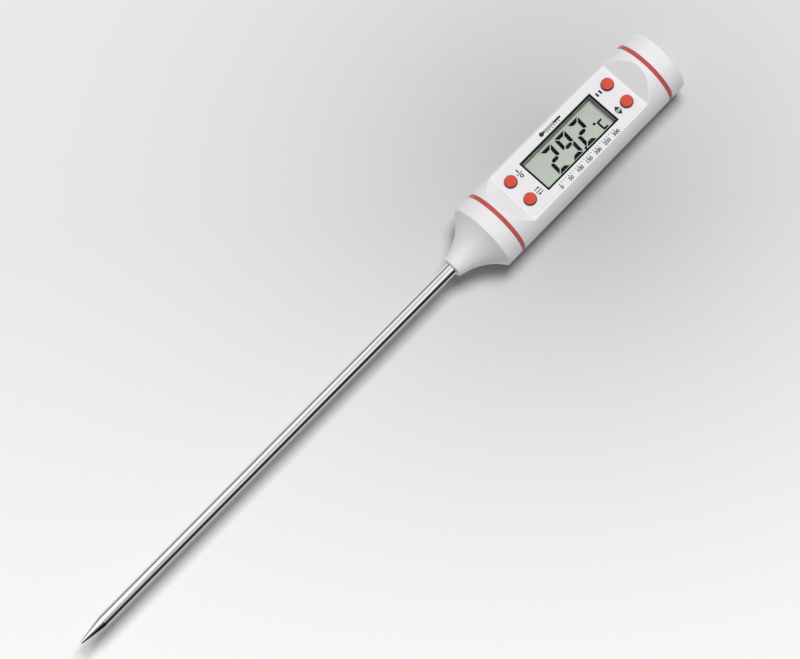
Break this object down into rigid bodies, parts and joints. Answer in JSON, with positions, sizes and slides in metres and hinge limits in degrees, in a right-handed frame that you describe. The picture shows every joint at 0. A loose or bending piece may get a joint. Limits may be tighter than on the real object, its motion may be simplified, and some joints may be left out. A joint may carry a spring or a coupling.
{
  "type": "digital probe thermometer",
  "caption": "Pen-shaped digital thermometer: white round handle with a flat display panel, push buttons, screw-on battery cap, flared nose and a long pointed steel probe.",
  "frame": {"origin": "centre of the nose face, on the probe axis, where the bare probe starts", "axes": "+Z along the handle towards the battery cap, the probe's point at -Z; the display faces -Y; +X is on the right of someone who looks at the display with the cap up"},
  "size_m": [0.0218, 0.0218, 0.2362],
  "materials": {
    "white_plastic": "fine satin moulding",
    "printed_film": "matt printed film",
    "red_rubber": "satin",
    "red_plastic": "satin",
    "black_plastic": "matt",
    "black_foam": "matt",
    "clear_plastic": "clear",
    "lcd_glass": "clear",
    "lcd_ink": "matt",
    "seal_epoxy": "matt",
    "lcd_reflector": "matt pearl",
    "inner_plastic": "matt",
    "board_laminate": "satin solder mask",
    "resin": "gloss",
    "plated_steel": "plated",
    "chip_ceramic": "matt",
    "sponge": "matt",
    "polished_steel": "polished stainless steel",
    "brass": "turned",
    "bead_glass": "gloss",
    "heat_paste": "matt",
    "lead_insulation": "satin"
  },
  "bodies": {
    "housing": {"barrel": "white_plastic", "battery_carrier": "inner_plastic", "board_screws": "plated_steel", "button_cell": "plated_steel", "circuit_board": "board_laminate", "controller_blob": "resin", "crystal_can": "plated_steel", "display_bezel": "black_plastic", "display_gasket": "black_foam", "display_window": "clear_plastic", "lcd_edge_seal": "seal_epoxy", "lcd_front_glass": "lcd_glass", "lcd_front_polariser": "lcd_glass", "lcd_holder": "inner_plastic", "lcd_rear_glass": "lcd_glass", "lcd_reflector": "lcd_reflector", "lcd_segments": "lcd_ink", "lead_sleeve": "lead_insulation", "negative_spring": "plated_steel", "negative_tab": "plated_steel", "nose_cone": "white_plastic", "nose_seal_ring": "red_rubber", "panel_label": "printed_film", "positive_strip": "plated_steel", "potting_plug": "resin", "probe_bush": "brass", "probe_tube": "polished_steel", "sensor_leads": "lead_insulation", "smd_parts": "chip_ceramic", "solder_joints": "plated_steel", "switch_bodies": "black_plastic", "switch_domes": "plated_steel", "thermistor_bead": "bead_glass", "tip_filler": "heat_paste", "zebra_strips": "black_foam"},
    "on_off_key": {"on_off_button": "red_plastic", "on_off_plunger": "black_plastic"},
    "unit_key": {"unit_button": "red_plastic", "unit_plunger": "black_plastic"},
    "hold_key": {"hold_button": "red_plastic", "hold_plunger": "black_plastic"},
    "max_min_key": {"max_min_button": "red_plastic", "max_min_plunger": "black_plastic"},
    "cap_ring": {"cap_seal_ring": "red_rubber"},
    "cap": {"end_cap": "white_plastic", "cap_pressure_pad": "sponge"}
  },
  "joints": [
    {"name": "on_off_press", "type": "slide", "parent": "housing", "child": "on_off_key", "axis": [0, 1, 0], "range_m": [0, 0.0004], "stiffness_N_per_m": 20, "springref_m": -0.001, "deforming": ["switch_domes"]},
    {"name": "unit_press", "type": "slide", "parent": "housing", "child": "unit_key", "axis": [0, 1, 0], "range_m": [0, 0.0004], "stiffness_N_per_m": 20, "springref_m": -0.001, "deforming": ["switch_domes"]},
    {"name": "hold_press", "type": "slide", "parent": "housing", "child": "hold_key", "axis": [0, 1, 0], "range_m": [0, 0.0004], "stiffness_N_per_m": 20, "springref_m": -0.001, "deforming": ["switch_domes"]},
    {"name": "max_min_press", "type": "slide", "parent": "housing", "child": "max_min_key", "axis": [0, 1, 0], "range_m": [0, 0.0004], "stiffness_N_per_m": 20, "springref_m": -0.001, "deforming": ["switch_domes"]},
    {"name": "cap_lift", "type": "slide", "parent": "housing", "child": "cap_ring", "axis": [0, 0, 1], "range_m": [0, 0.00301]},
    {"name": "cap_turn", "type": "hinge", "parent": "cap_ring", "child": "cap", "pos_m": [0, 0, 0.08], "axis": [0, 0, 1], "range_deg": [0, 720]}
  ],
  "couplings": [
    {"joint": "cap_lift", "follows": "cap_turn", "m_per_rad": 0.00023873}
  ]
}
